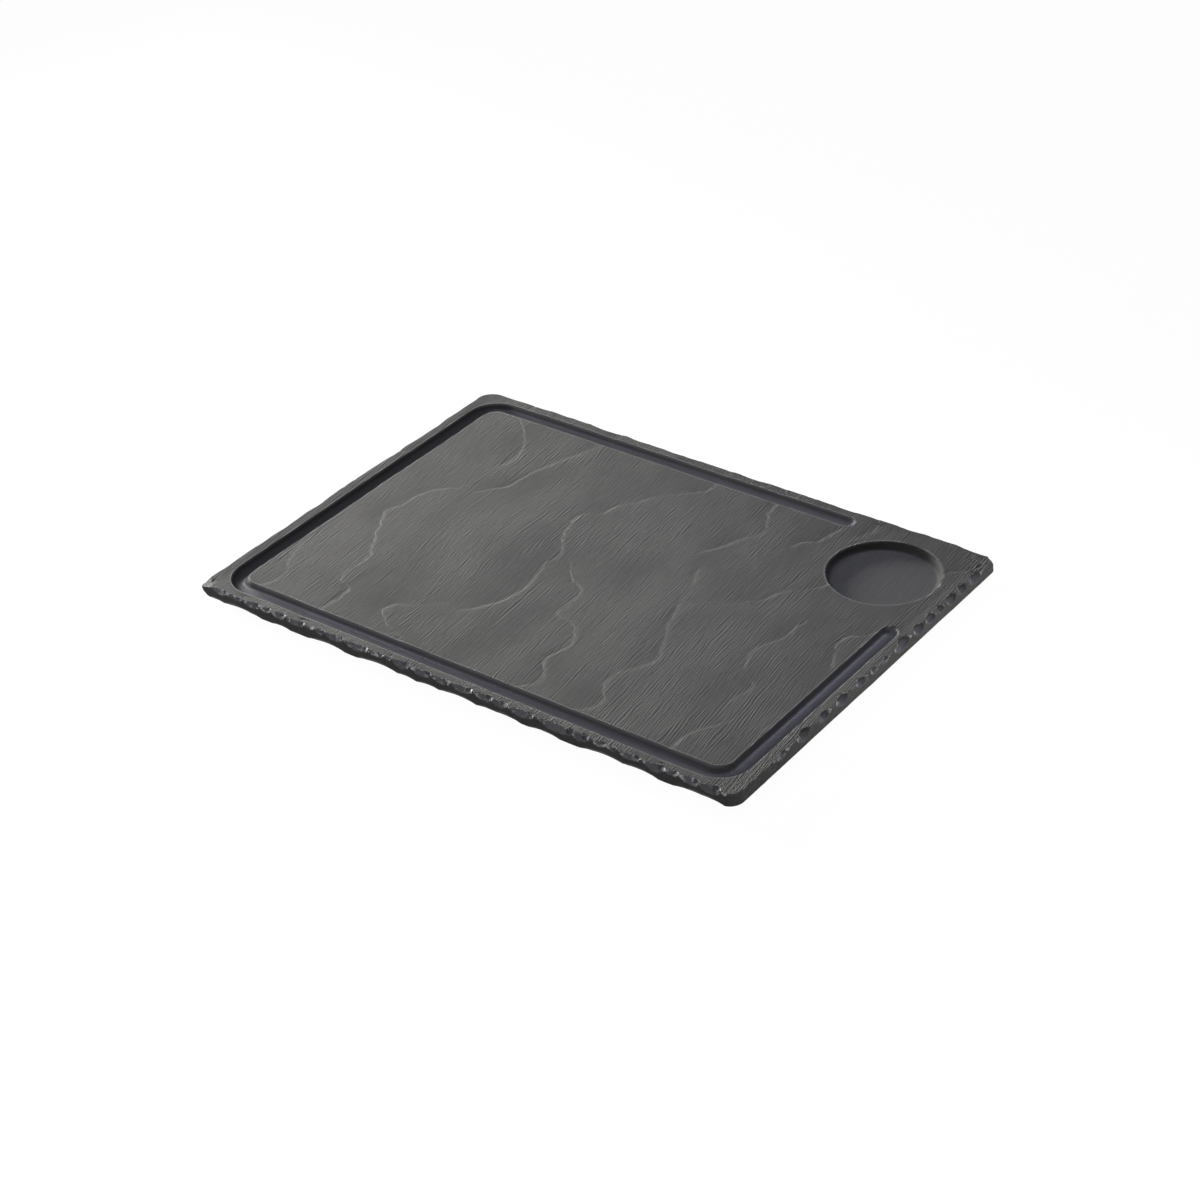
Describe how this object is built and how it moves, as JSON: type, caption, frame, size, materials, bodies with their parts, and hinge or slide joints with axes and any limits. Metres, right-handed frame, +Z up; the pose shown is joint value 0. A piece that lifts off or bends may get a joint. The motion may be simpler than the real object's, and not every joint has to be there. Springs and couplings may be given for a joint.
{
  "type": "steak plate",
  "caption": "Rectangular slate-textured serving plate with a riven face, a juice groove round the panel, a round sauce well in one corner and a chipped edge.",
  "frame": {"origin": "on the table, under the middle of the plate", "axes": "+X along the plate towards the sauce well, +Y across it towards the back, +Z up"},
  "size_m": [0.33, 0.24, 0.01],
  "materials": {
    "stoneware": "matt, slate-textured",
    "rubber": "matt"
  },
  "bodies": {
    "root": {"plate_slab": "stoneware", "pad_front_left": "rubber", "pad_front_right": "rubber", "pad_back_left": "rubber", "pad_back_right": "rubber"}
  },
  "joints": []
}
